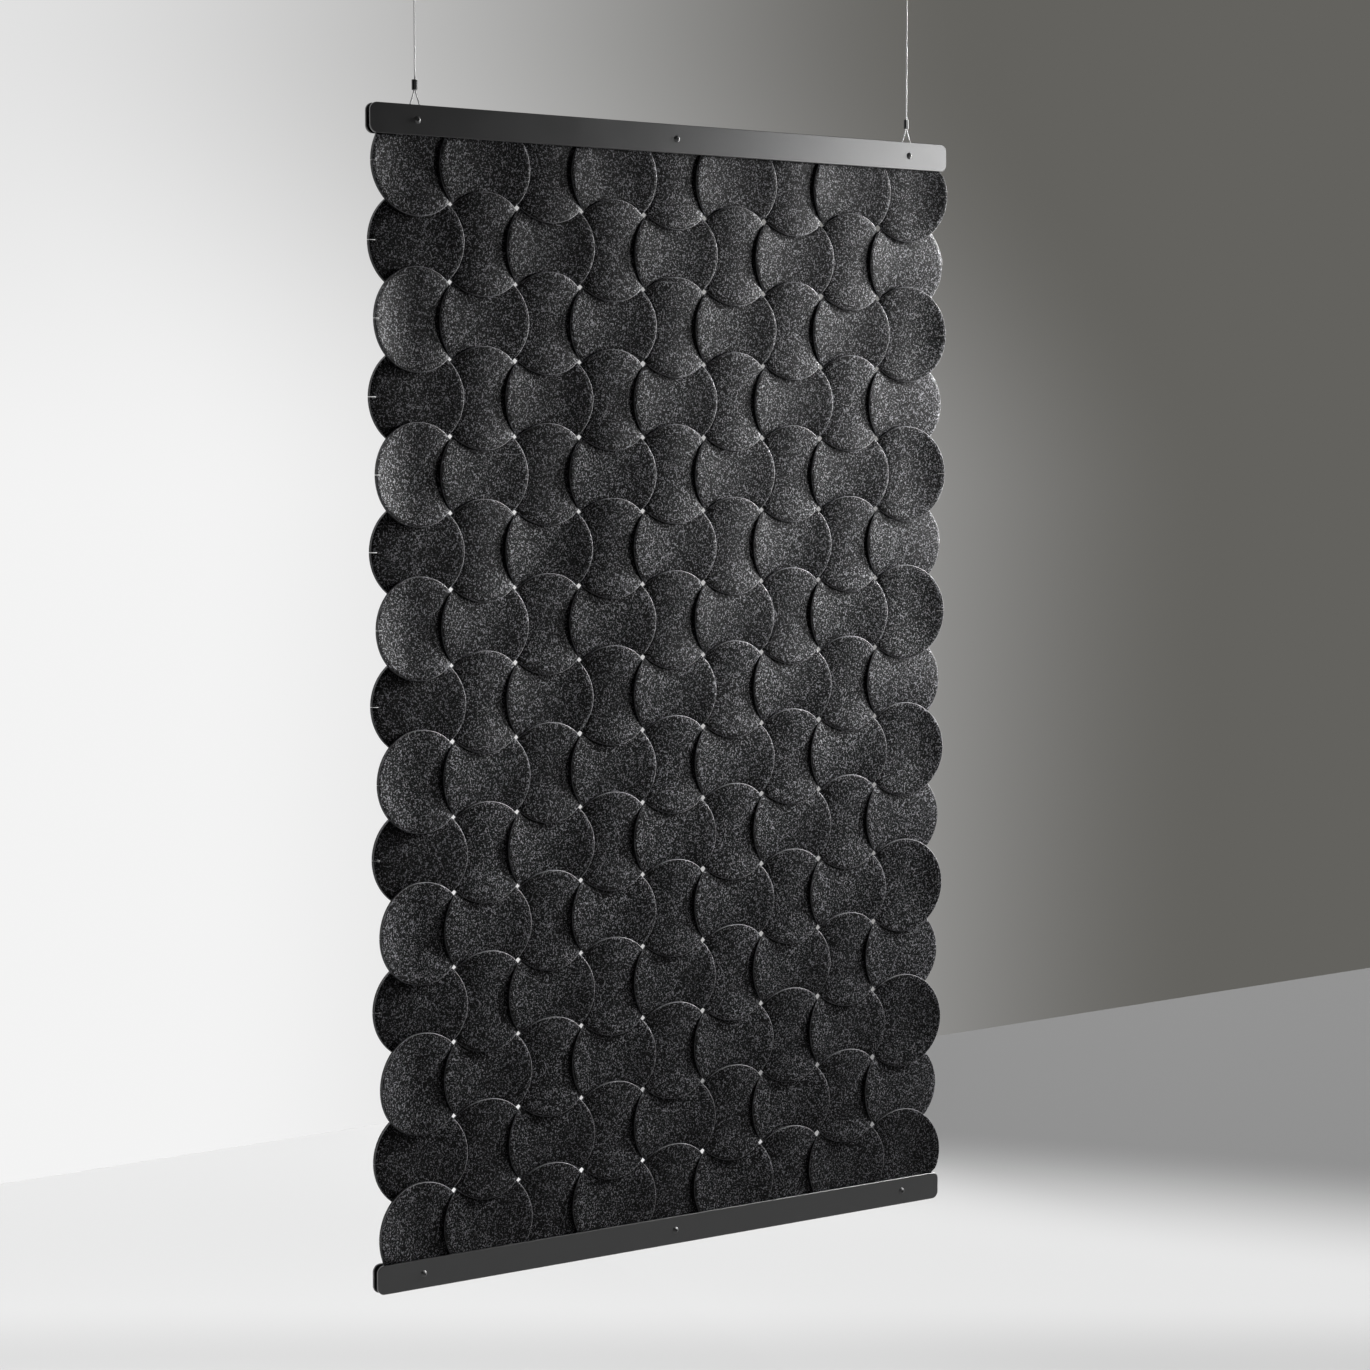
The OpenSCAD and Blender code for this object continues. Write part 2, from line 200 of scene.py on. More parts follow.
def new_group(name, inputs, outputs):
    """A shader node group with named float or vector inputs and outputs, the sockets that give its nodes
    the inputs, and those that take the outputs."""
    group = bpy.data.node_groups.new(name, "ShaderNodeTree")
    for label, kind, value in inputs:
        socket = group.interface.new_socket(label, in_out="INPUT", socket_type=kind)
        if value is not None:
            socket.default_value = value
    for label, kind in outputs:
        group.interface.new_socket(label, in_out="OUTPUT", socket_type=kind)
    return group, group.nodes.new("NodeGroupInput").outputs, group.nodes.new("NodeGroupOutput").inputs


def grain_group():
    """Metal grain: a fine bumpy height and a roughness that wanders in soft patches."""
    group, given, out = new_group(
        "metal grain",
        [
            ("Vector", "NodeSocketVector", None),
            ("Grain Scale", "NodeSocketFloat", 2500.0),
            ("Patch Scale", "NodeSocketFloat", 40.0),
            ("Roughness", "NodeSocketFloat", 0.4),
            ("Spread", "NodeSocketFloat", 0.1),
        ],
        [("Height", "NodeSocketFloat"), ("Roughness", "NodeSocketFloat")],
    )
    grain = add_node(group, "ShaderNodeTexNoise", {"Detail": 3.0, "Roughness": 0.6})
    patch = add_node(group, "ShaderNodeTexNoise", {"Detail": 4.0, "Roughness": 0.6})
    link = group.links.new
    link(given["Vector"], grain.inputs["Vector"])
    link(given["Grain Scale"], grain.inputs["Scale"])
    link(given["Vector"], patch.inputs["Vector"])
    link(given["Patch Scale"], patch.inputs["Scale"])
    centred = reckoned(group, "SUBTRACT", patch.outputs["Fac"], 0.5)
    scaled = reckoned(group, "MULTIPLY", centred, given["Spread"])
    link(reckoned(group, "ADD", scaled, given["Roughness"]), out["Roughness"])
    link(grain.outputs["Fac"], out["Height"])
    return group


METAL_GRAIN = grain_group()
GRAIN_DEPTH = 0.0001


def grained_metal(name, colour, roughness, metallic, grain, patch, spread, bump):
    """A metal or painted metal: grains and patches per metre, how far its roughness spreads from patch
    to patch, and how strongly its grain stands out."""
    material, tree, shader = new_material(name, colour, roughness, metallic)
    place = add_node(tree, "ShaderNodeTexCoord")
    group = add_node(
        tree,
        "ShaderNodeGroup",
        {"Grain Scale": grain, "Patch Scale": patch, "Roughness": roughness, "Spread": spread},
        node_tree=METAL_GRAIN,
    )
    relief = add_node(tree, "ShaderNodeBump", {"Strength": bump, "Distance": GRAIN_DEPTH})
    link = tree.links.new
    link(place.outputs["Object"], group.inputs["Vector"])
    link(group.outputs["Height"], relief.inputs["Height"])
    link(relief.outputs["Normal"], shader.inputs["Normal"])
    link(group.outputs["Roughness"], shader.inputs["Roughness"])
    return material, tree, shader


def paint(piece, material):
    """Gives a piece one material in its first slot, whatever slots it came with."""
    piece.data.materials.clear()
    piece.data.materials.append(material)


rope_steel = grained_metal(
    "rope steel", (0.36, 0.36, 0.36), roughness=0.45, metallic=1.0,
    grain=3000, patch=200, spread=0.1, bump=0.1,
)[0]
loop_points = [LOOP_END, *((-x, z) for x, z in LOOP_LEG), LOOP_LOW, *LOOP_LEG[::-1], *RISE, WIRE_TOP]
for side in ("left", "right"):
    low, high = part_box(f"{side}_bush")
    axis = (low + high) / 2
    points = np.array([(axis.x + x / 1000, axis.y, axis.z + z / 1000) for x, z in loop_points])
    route, length = smooth_route(points, WIRE_STEP)
    wire = rope_mesh(f"{side}_stranded_wire", route)
    paint(wire, rope_steel)
    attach(wire, f"{side}_wire")
    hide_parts(f"{side}_wire")


# Ceiling fittings
# A turned steel base is screwed to the ceiling, and a turned cup screws onto it. The lathe left fine
# grooves that run round them.
TOOL_MARKS = 900.0
TOOL_MARK_DEPTH = 0.00005


def turned_steel(name, centre_x):
    """Steel from a lathe: rings round the point where the fitting's axis meets the ceiling."""
    material, tree, shader = grained_metal(
        name, (0.66, 0.66, 0.67), roughness=0.27, metallic=1.0,
        grain=1800, patch=90, spread=0.12, bump=0.15,
    )
    place = add_node(tree, "ShaderNodeTexCoord")
    centre = add_node(tree, "ShaderNodeMapping", {"Location": (-centre_x, 0.0, 0.0)})
    tool_marks = add_node(
        tree,
        "ShaderNodeTexWave",
        {"Scale": TOOL_MARKS, "Distortion": 0.6, "Detail": 2.0, "Detail Scale": 3.0},
        wave_type="RINGS",
        rings_direction="SPHERICAL",
    )
    marks = add_node(tree, "ShaderNodeBump", {"Strength": 0.25, "Distance": TOOL_MARK_DEPTH})
    link = tree.links.new
    link(place.outputs["Object"], centre.inputs["Vector"])
    link(centre.outputs["Vector"], tool_marks.inputs["Vector"])
    link(tool_marks.outputs["Fac"], marks.inputs["Height"])
    grained = shader.inputs["Normal"].links[0].from_node
    link(marks.outputs["Normal"], grained.inputs["Normal"])
    return material


for side in ("left", "right"):
    low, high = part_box(f"{side}_ceiling_base")
    steel = turned_steel(f"turned steel {side}", (low.x + high.x) / 2)
    for part in ("ceiling_base", "ceiling_cup"):
        paint(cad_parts[f"{side}_{part}"], steel)

# Balls, stops, bushes and spacers
# Small plain steel parts. A ball sits in each cup and a pressed stop above it holds the wire's end. The
# wire's loop carries a bush on the outer screw, and a spacer on each other screw keeps the plates apart.
plain_steel = grained_metal(
    "plain steel", (0.7, 0.7, 0.71), roughness=0.3, metallic=1.0,
    grain=2500, patch=150, spread=0.15, bump=0.2,
)[0]
for node in ("top_spacer", "bottom_spacers"):
    paint(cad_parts[node], plain_steel)
for side in ("left", "right"):
    for part in ("ball", "wire_stop", "bush"):
        paint(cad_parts[f"{side}_{part}"], plain_steel)

# Ferrules
# A black oval sleeve is pressed round both runs of the wire, just above the loop. Its coat is slightly
# bumpy.
pressed_black = grained_metal(
    "pressed black", (0.014, 0.014, 0.015), roughness=0.34, metallic=0.0,
    grain=1600, patch=300, spread=0.2, bump=0.5,
)[0]
for side in ("left", "right"):
    paint(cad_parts[f"{side}_ferrule"], pressed_black)

# Bars
# Two flat steel plates, powder-coated satin black, clamp the felt between them at the top and again at
# the bottom. Their corners are round and their edges lightly bevelled.
bar_coat, _, bar_shader = grained_metal(
    "satin bar coat", (0.010, 0.010, 0.0105), roughness=0.30, metallic=0.0,
    grain=1500, patch=18, spread=0.06, bump=0.3,
)
bar_shader.inputs["Specular IOR Level"].default_value = 1.0
for place in ("top", "bottom"):
    for half in ("front", "back"):
        paint(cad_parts[f"{place}_{half}_plate"], bar_coat)

# Cap screws
# Three in each bar go through the front plate and into the back one. They are black, with low domed
# heads and a hexagon socket.
screw_black = grained_metal(
    "oxide black", (0.13, 0.13, 0.13), roughness=0.45, metallic=0.3,
    grain=2200, patch=400, spread=0.2, bump=0.4,
)[0]
for place in ("top", "bottom"):
    paint(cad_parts[f"{place}_screws"], screw_black)


# Felt discs
# Each is cut from 5 mm charcoal wool felt. Woven over two neighbours and under the other two, it bends
# into a saddle. The outer ones curl at their free edge, which has a keyhole slit.
PITCH = 0.080
LAP = 0.029
COLUMNS, ROWS = 9, 15
DISC_R = (PITCH + LAP) / 2
FELT_T = 0.005
WEAVE_GAP = 0.0004
# The bend of a free flap, and of a woven one, which thins and goes straight where its lap starts. Midway
# between two discs a woven one lies half a thin layer and the layers' gap from the middle.
BEND = 2 * (FELT_T + WEAVE_GAP) / PITCH**2
LAP_BEND = 1.565
STRAIGHT_FROM = 0.0285
LAP_T = 0.0044
LAYER_GAP = 0.0001
PRESS_EASE = 0.003
# Round the star-shaped gap where four discs meet, the felt is pressed thinner and each disc's edge is
# dented, in turns tight and loose and more towards the right. Below zero it stands out instead.
PRESSED_T = 0.0016
PRESSED_REACH = 0.007
TIGHT_DENT, LOOSE_DENT = -0.0003, 0.0001
DENT_GROWTH = 0.00012
DENT_WIDTH = math.radians(3.5)
LEAST_LOOSE, MOST_LOOSE = 0.4, 1.6
# The rim's edges are round, and its front sinks a little
EDGE_ROUND = 0.0008
RIM_DROP = 0.0003
RIM_REACH = 0.0015
# Half the room between the plates, and how fast it widens outside them
CLAMP_HALF = 0.00305
CLAMP_OPENING = 0.75
# How strongly the free flaps curl, as shares of a free flap's bend, and how much the strength of every
# flap differs from disc to disc
LEFT_CURL = 2.2
LEFT_CURL_OF_ROW = {0: 1.3, 10: 2.8, 12: 2.8}
RIGHT_CURL = 1.3
BACK_CURL = 0.4
FLAP_SPREAD = 0.04
# How many rings and points a disc has, and how much closer its rings lie towards the rim
SKIN_RINGS = 11
EDGE_STEPS = 3
AROUND = 88
RING_CROWDING = 0.8
# What is cut out: slits in the free edges, windows for the wire loops and holes for the spacers
SLIT_L = 0.0085
SLIT_TIP_W = 0.0004
SLIT_HOLE_D = 0.0022
SLIT_MOUTH = 25
SLIT_OUTSIDE = 0.001
WINDOW_R = 0.0115
WINDOW_RISE = 0.0034
SPACER_HOLE_R = 0.0043
CUT_REACH = 0.05
# How far the curtain hangs out of flat, to the back: depth, middle x and z, and reach across and down.
# It starts a share of the pitch away from the screws.
RIPPLES = [
    (0.0055, -0.165, -0.66, 0.085, 0.26),
    (-0.0038, -0.300, -0.99, 0.080, 0.20),
    (0.0032, 0.170, -0.66, 0.090, 0.14),
    (-0.0034, -0.180, -0.29, 0.170, 0.06),
]
RIPPLE_START = 0.2
# How squarely a face has to look to the front to be part of it, the felt's colours, and how far its tone
# goes from disc to disc and from cloud to cloud. The rim's colour is paler fibres together with a painted
# highlight on the front of the cut rim; the side's is darker fibre ends together with painted shade.
FRONT_FROM = 0.4
DARK_WOOL = (0.006, 0.006, 0.0061, 1.0)
PALE_WOOL = (0.245, 0.243, 0.263, 1.0)
# Painted highlight: the front of the cut rim is painted paler, for its frayed pale fibres and for the
# light it catches
RIM_WOOL_AND_HIGHLIGHT = (0.32, 0.32, 0.33, 1.0)
# Painted shade: the cut sides are painted near black, for darker fibre ends and for the shade they lie in
SIDE_SHADE_WOOL = (0.006, 0.006, 0.006, 1.0)
TONES = (0.88, 1.12)
rng = np.random.default_rng(7)
star_looseness = rng.uniform(LEAST_LOOSE, MOST_LOOSE, (ROWS - 1, COLUMNS - 1))

top_low, top_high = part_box("top_front_plate")
bottom_low, bottom_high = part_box("bottom_front_plate")
screw_z = (top_low.z + top_high.z) / 2
low_screw_z = (bottom_low.z + bottom_high.z) / 2
row_low, row_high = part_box("row_02_crosswise_discs")
first_row_z = (row_low.z + row_high.z) / 2 + PITCH


def is_upright(row, col):
    """True for a disc that laps over those above and below it."""
    return (row + col) % 2 == 0


def has_disc(row, col):
    """True where the weave has a disc."""
    return 0 <= row < ROWS and 0 <= col < COLUMNS


def disc_middle(row, col):
    """Where a disc's middle lies, across and up."""
    return (col - (COLUMNS - 1) / 2) * PITCH, first_row_z - row * PITCH


def flaps_of(row, col):
    """How strongly a disc's right, top, left and bottom flaps bend, to the front where above 0."""
    front = -1.0 if is_upright(row, col) else 1.0
    flaps = [front, -front, front, -front]
    if col == 0:
        flaps[2] = LEFT_CURL_OF_ROW.get(row, LEFT_CURL) if is_upright(row, col) else -BACK_CURL
    if col == COLUMNS - 1:
        flaps[0] = RIGHT_CURL if is_upright(row, col) else -BACK_CURL
    if row == 0:
        flaps[1] = 0.0
    if row == ROWS - 1:
        flaps[3] = 0.0
    return flaps


def smooth_step(value):
    """Rises from 0 to 1 as the value does, level at both ends."""
    value = np.clip(value, 0, 1)
    return value * value * (3 - 2 * value)


def ripple(x, z):
    """Soft swells: each adds its depth times e to minus the squared distances over its reaches."""
    total = np.zeros_like(x)
    for depth, middle_x, middle_z, reach_x, reach_z in RIPPLES:
        total += depth * np.exp(-(((x - middle_x) / reach_x) ** 2) - ((z - middle_z) / reach_z) ** 2)
    held_above = smooth_step((screw_z - z) / PITCH - RIPPLE_START)
    held_below = smooth_step((z - low_screw_z) / PITCH - RIPPLE_START)
    return total * (held_above * held_below)


def disc_profile():
    """From the front's middle over the rounded rim to the back's middle: the share of the disc's radius
    less its edge rounding, what the rounding adds to that, and the share of half the thickness."""
    out = np.linspace(0, 1, SKIN_RINGS + 1)[1:] ** RING_CROWDING
    turn = np.linspace(math.pi / 2, 0, EDGE_STEPS + 1)
    rim_out = EDGE_ROUND * np.cos(turn)
    rim_up = 1 - EDGE_ROUND / (FELT_T / 2) * (1 - np.sin(turn))
    level, none = np.ones(SKIN_RINGS - 1), np.zeros(SKIN_RINGS - 1)
    share = np.concatenate([out[:-1], np.ones(2 * EDGE_STEPS + 2), out[-2::-1]])
    outward = np.concatenate([none, rim_out, rim_out[::-1], none])
    height = np.concatenate([level, rim_up, -rim_up[::-1], -level])
    return share, outward, height


def rise(distance, is_woven=True):
    """How far a flap of strength 1 stands out at a distance from the disc's middle: its bend times the
    distance squared. A woven one goes on straight from where the lap starts."""
    if not is_woven:
        return BEND * distance**2
    return LAP_BEND * (distance**2 - np.maximum(0, distance - STRAIGHT_FROM) ** 2)


def disc_skins(x, z, flaps, row, col):
    """Front and back heights of a disc. Its middle sheet rises across and down, each times that flap's
    strength, and the felt thins towards its laps. The front sinks a little to the rim. Where the disc
    meets a neighbour both are pressed to the surface halfway between them."""
    sides = ((1, 0), (0, 1), (-1, 0), (0, -1))
    woven = [has_disc(row - step_z, col + step_x) for step_x, step_z in sides]
    middle = np.zeros_like(x)
    half = np.full_like(x, FELT_T / 2)
    for (step_x, step_z), flap, is_woven in zip(sides, flaps, woven):
        along = np.maximum(0, x * step_x + z * step_z)
        middle += flap * rise(along, is_woven)
        half -= (FELT_T - LAP_T) / 2 * smooth_step(along / (PITCH / 2)) * is_woven
    for sx in (-1, 1):
        for sz in (-1, 1):
            if has_disc(row - sz, col + sx):
                away = ((x - sx * PITCH / 2) ** 2 + (z - sz * PITCH / 2) ** 2) / PRESSED_REACH**2
                half -= PRESSED_T / 2 * np.exp(-away)
    sunk = RIM_DROP * smooth_step((np.hypot(x, z) - DISC_R + RIM_REACH) / RIM_REACH)
    front, back = middle + half - sunk, middle - half
    for (step_x, step_z), flap, is_woven in zip(sides, flaps, woven):
        if not is_woven:
            continue
        along = np.maximum(0, x * step_x + z * step_z)
        apart = np.hypot(x - step_x * PITCH, z - step_z * PITCH)
        pressed = smooth_step((DISC_R + PRESS_EASE - apart) / PRESS_EASE)
        halfway = flap * (rise(along) - rise(np.maximum(0, PITCH - along))) / 2
        if flap > 0:
            back = back + pressed * np.maximum(0, halfway + LAYER_GAP - back)
        else:
            front = front - pressed * np.maximum(0, front - halfway + LAYER_GAP)
    return front, back


def clamp_limit(z):
    """How far felt may stand from the middle at a height: half the plates' gap within the bars, and more
    the further it lies outside them."""
    below = np.maximum(0, top_low.z - z)
    above = np.maximum(0, z - bottom_high.z)
    return CLAMP_HALF + CLAMP_OPENING * np.minimum(below, above)


def disc_edge(row, col, angle):
    """A disc's radius at each angle: less a bell-shaped dent at each star-shaped gap that it meets."""
    edge = np.full(len(angle), DISC_R)
    for quarter, (sx, sz) in enumerate(((1, 1), (-1, 1), (-1, -1), (1, -1))):
        if has_disc(row - sz, col + sx):
            off = angle - math.radians(45 + 90 * quarter)
            star_col, star_row = min(col, col + sx), min(row, row - sz)
            dent = (LOOSE_DENT if (star_col + star_row) % 2 else TIGHT_DENT) + DENT_GROWTH * star_col
            dent *= star_looseness[star_row, star_col]
            edge -= dent * np.exp(-((off / DENT_WIDTH) ** 2))
    return edge


def disc_points(row, col):
    """The points of one disc on a grid of rings from the front's middle to the back's middle by angles
    round it, with a point for each middle added at the end."""
    share, outward, height = disc_profile()
    angle = np.linspace(0, 2 * math.pi, AROUND, endpoint=False)
    radius = share[:, None] * (disc_edge(row, col, angle)[None, :] - EDGE_ROUND) + outward[:, None]
    radius = np.concatenate([radius.ravel(), [0, 0]])
    angle = np.concatenate([np.tile(angle, len(share)), [0, 0]])
    height = np.concatenate([np.repeat(height, AROUND), [1, -1]])
    x, z = radius * np.cos(angle), radius * np.sin(angle)
    changes = 1 + FLAP_SPREAD * rng.normal(0, 1, 4)
    flaps = [flap * change for flap, change in zip(flaps_of(row, col), changes)]
    front, back = disc_skins(x, z, flaps, row, col)
    middle_x, middle_z = disc_middle(row, col)
    world_x, world_z = x + middle_x, z + middle_z
    limit = clamp_limit(world_z)
    front, back = np.minimum(front, limit), np.maximum(back, -limit)
    forward = (front + back) / 2 + height * (front - back) / 2
    return np.stack([world_x, ripple(world_x, world_z) - forward, world_z], 1)


def row_faces(discs):
    """The faces of a row of discs: quads between each one's rings and a fan of triangles round each of
    its middles."""
    rings = len(disc_profile()[0])
    first = np.arange(AROUND)
    last = (rings - 1) * AROUND + first
    front_middle, back_middle = (np.full(AROUND, rings * AROUND + k) for k in (0, 1))
    blocks = (
        grid_faces(rings, AROUND),
        np.stack([front_middle, first, np.roll(first, -1)], 1),
        np.stack([back_middle, np.roll(last, -1), last], 1),
    )
    points_each = rings * AROUND + 2
    faces = []
    for disc in range(discs):
        for block in blocks:
            faces += (block + disc * points_each).tolist()
    return faces


def cutter(name, outlines):
    """Prisms through the felt along Y, one for each outline of (x, z) points."""
    points, faces = [], []
    for outline in outlines:
        start, count = len(points), len(outline)
        points += [(x, y, z) for y in (-CUT_REACH, CUT_REACH) for x, z in outline]
        faces.append([start + k for k in range(count)])
        faces.append([start + 2 * count - 1 - k for k in range(count)])
        faces += [
            [start + (k + 1) % count, start + k, start + count + k, start + count + (k + 1) % count]
            for k in range(count)
        ]
    return new_piece(name, points, faces)


def arc(x, z, radius, start, end, steps):
    """Points on a circle from one angle to another, in degrees."""
    angles = np.radians(np.linspace(start, end, steps))
    return [(x + radius * math.cos(a), z + radius * math.sin(a)) for a in angles]


def keyhole_outline(side, x, z):
    """The slit in a free edge: a narrow cut that widens inwards to a round hole."""
    tip, hole = DISC_R + SLIT_OUTSIDE, DISC_R - SLIT_L
    round_end = arc(x + hole, z, SLIT_HOLE_D / 2, SLIT_MOUTH, 360 - SLIT_MOUTH, steps=17)
    outline = [(x + tip, z - SLIT_TIP_W / 2), (x + tip, z + SLIT_TIP_W / 2)] + round_end
    return outline if side > 0 else [(2 * x - px, pz) for px, pz in outline][::-1]


def cuts_of(row, cols):
    """The outlines cut out of the discs of a row: slits, wire windows and holes for the spacers."""
    outlines = []
    for col in cols:
        x, z = disc_middle(row, col)
        is_outer, is_middle = col in (0, COLUMNS - 1), col == COLUMNS // 2
        if is_outer:
            outlines.append(keyhole_outline(1 if col else -1, x, z))
        if row == 0 and is_outer:
            low = screw_z + WINDOW_RISE
            window = arc(x, low, WINDOW_R, 180, 360, steps=19)
            outlines.append(window + [(x + WINDOW_R, low + PITCH), (x - WINDOW_R, low + PITCH)])
        if row == 0 and is_middle:
            outlines.append(arc(x, screw_z, SPACER_HOLE_R, 0, 345, steps=24))
        if row == ROWS - 1 and (is_outer or is_middle):
            outlines.append(arc(x, low_screw_z, SPACER_HOLE_R, 0, 345, steps=24))
    return outlines


def cut_out(piece, outlines):
    """Cuts the outlines out of a piece and leaves it a plain mesh."""
    tool = cutter("felt cutter", outlines)
    change = piece.modifiers.new("cut", "BOOLEAN")
    change.operation, change.object, change.solver = "DIFFERENCE", tool, "EXACT"
    bpy.context.view_layer.update()
    seen = piece.evaluated_get(bpy.context.evaluated_depsgraph_get())
    mesh = bpy.data.meshes.new_from_object(seen)
    piece.modifiers.clear()
    old, piece.data = piece.data, mesh
    bpy.data.meshes.remove(old)
    bpy.data.objects.remove(tool)
    mesh.set_sharp_from_angle(angle=SHARP_FROM)


def mark_felt(piece, row, first_col):
    """Stores on each point how near it lies to the front of the cut rim, where a painted highlight goes,
    how much it belongs to the cut side, where painted shade goes, and the tone of its disc."""
    count = len(piece.data.vertices)
    place, normal = np.empty(count * 3, np.float32), np.empty(count * 3, np.float32)
    piece.data.vertices.foreach_get("co", place)
    piece.data.vertices.foreach_get("normal", normal)
    x, z = place[0::3], place[2::3]
    # A row's own discs are two pitches apart, so a point past halfway belongs to the next of them
    col = first_col + 2 * np.round((x / PITCH + (COLUMNS - 1) / 2 - first_col) / 2).astype(int)
    middle_x, middle_z = disc_middle(row, col)
    radius = np.hypot(x - middle_x, z - middle_z)
    facing = smooth_step(-normal[1::3] / FRONT_FROM)
    near_rim = smooth_step((radius - DISC_R) / EDGE_ROUND + 1.0)
    tones = rng.normal(0, 1, COLUMNS)[col]
    for label, values in (
        ("pale_rim_and_highlight", near_rim * facing), ("cut_side_shade", near_rim * (1 - facing)), ("disc_tone", tones)
    ):
        layer = piece.data.attributes.new(label, "FLOAT", "POINT")
        layer.data.foreach_set("value", values.astype(np.float32))


def fibre_group():
    """Melange felt: a mask of short pale fibres lying every way, a height for their tufts, and a soft
    cloudy tone."""
    group, given, out = new_group(
        "felt fibres",
        [
            ("Vector", "NodeSocketVector", None),
            ("Fibre Width", "NodeSocketFloat", 0.0014),
            ("Low", "NodeSocketFloat", 0.60),
            ("High", "NodeSocketFloat", 0.70),
        ],
        [("Pale", "NodeSocketFloat"), ("Height", "NodeSocketFloat"), ("Cloud", "NodeSocketFloat")],
    )
    link = group.links.new
    per_metre = reckoned(group, "DIVIDE", 1.0, given["Fibre Width"])
    strokes = []
    for lean, stretch in ((0.6, (1.0, 1.0, 0.55)), (-0.9, (1.0, 1.0, 0.55)), (0.2, (0.5, 1.0, 1.0))):
        mapping = add_node(group, "ShaderNodeMapping", {"Rotation": (0.0, lean, 0.0), "Scale": stretch})
        noise = add_node(group, "ShaderNodeTexNoise", {"Detail": 1.5, "Roughness": 0.55})
        link(given["Vector"], mapping.inputs["Vector"])
        link(mapping.outputs["Vector"], noise.inputs["Vector"])
        link(per_metre, noise.inputs["Scale"])
        strokes.append(noise.outputs["Fac"])
    tufts = reckoned(group, "MAXIMUM", *strokes)
    pale = add_node(group, "ShaderNodeMapRange", interpolation_type="SMOOTHSTEP")
    link(tufts, pale.inputs["Value"])
    link(given["Low"], pale.inputs["From Min"])
    link(given["High"], pale.inputs["From Max"])
    cloud = add_node(group, "ShaderNodeTexNoise", {"Scale": 55.0, "Detail": 3.0, "Roughness": 0.6})
    link(given["Vector"], cloud.inputs["Vector"])
    link(pale.outputs["Result"], out["Pale"])
    link(tufts, out["Height"])
    link(cloud.outputs["Fac"], out["Cloud"])
    return group


def ramp(tree, value, start, end, low, high, kind="SMOOTHSTEP"):
    """Goes from low to high as a value goes from start to end: softly, or evenly if the kind is LINEAR."""
    limits = {"From Min": start, "From Max": end, "To Min": low, "To Max": high}
    node = add_node(tree, "ShaderNodeMapRange", limits, interpolation_type=kind)
    tree.links.new(value, node.inputs["Value"])
    return node.outputs["Result"]


def blended(tree, factor, first, second, kind="RGBA"):
    """A colour, or a value with the kind FLOAT, that goes from the first to the second by a factor."""
    mix = add_node(tree, "ShaderNodeMix", data_type=kind)
    for label, given in (("Factor", factor), ("A", first), ("B", second)):
        feed(tree, given, mix.inputs[label])
    return mix.outputs["Result"]


def felt_material():
    """Charcoal melange felt: dull dark wool with glossier pale fibres, a soft sheen and tufts. Its cut
    rim is painted paler in front, for pale fibres and as a painted highlight, and near black at the side,
    for dark fibre ends and as painted shade."""
    material, tree, shader = new_material("charcoal melange felt", (0.03, 0.03, 0.031), roughness=0.38)
    shader.inputs["Sheen Weight"].default_value = 0.04
    shader.inputs["Sheen Roughness"].default_value = 0.45
    shader.inputs["Sheen Tint"].default_value = (0.85, 0.87, 0.92, 1.0)
    link = tree.links.new
    place = add_node(tree, "ShaderNodeTexCoord")
    fibres = add_node(tree, "ShaderNodeGroup", node_tree=fibre_group())
    tone, edge, side = (
        add_node(tree, "ShaderNodeAttribute", attribute_name=label).outputs["Fac"]
        for label in ("disc_tone", "pale_rim_and_highlight", "cut_side_shade")
    )
    tufts = add_node(tree, "ShaderNodeBump", {"Strength": 0.6, "Distance": 0.0006})
    shaded = add_node(tree, "ShaderNodeVectorMath", operation="SCALE")
    link(place.outputs["Object"], fibres.inputs["Vector"])
    link(blended(tree, fibres.outputs["Pale"], DARK_WOOL, PALE_WOOL), shaded.inputs[0])
    toned = ramp(tree, tone, -2.0, 2.0, *TONES, "LINEAR")
    clouded = ramp(tree, fibres.outputs["Cloud"], 0.3, 0.7, *TONES, "LINEAR")
    link(reckoned(tree, "MULTIPLY", toned, clouded), shaded.inputs["Scale"])
    # Painted highlight: the front of the cut rim turns paler
    with_rim_highlight = blended(tree, edge, shaded.outputs[0], RIM_WOOL_AND_HIGHLIGHT)
    # Painted shade: the cut sides turn near black
    link(blended(tree, side, with_rim_highlight, SIDE_SHADE_WOOL), shader.inputs["Base Color"])
    gloss = ramp(tree, fibres.outputs["Pale"], 0.0, 1.0, 0.07, 0.40, "LINEAR")
    link(gloss, shader.inputs["Specular IOR Level"])
    link(fibres.outputs["Height"], tufts.inputs["Height"])
    link(tufts.outputs["Normal"], shader.inputs["Normal"])
    return material


felt = felt_material()
for row in range(ROWS):
    for kind in ("upright", "crosswise"):
        cols = [col for col in range(COLUMNS) if is_upright(row, col) == (kind == "upright")]
        points = np.concatenate([disc_points(row, col) for col in cols])
        piece = new_piece(f"felt_row_{row + 1:02d}_{kind}", points, row_faces(len(cols)))
        outlines = cuts_of(row, cols)
        if outlines:
            cut_out(piece, outlines)
        mark_felt(piece, row, cols[0])
        paint(piece, felt)
        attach(piece, "panel")
        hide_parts(f"row_{row + 1:02d}_{kind}_discs")

# Floor
# A plain pale floor below the panel, which ends at the wall behind it. Painted shade darkens it towards
# the wall's darker side and towards the camera, and it is painted a little lighter further off. Only what
# is seen of it is pale, so it throws little light back.
FLOOR_Z = -1.80
FLOOR_CORNERS = [(-9.0, -6.0), (9.0, -6.0), (9.0, 2.62), (-9.0, 1.54)]
FLOOR_PALE, FLOOR_SHADED_TONE, FLOOR_BOUNCE = 0.74, 0.22, 0.05
FLOOR_NEAR_SHADE, FLOOR_FAR_LIGHT = 0.80, 1.05
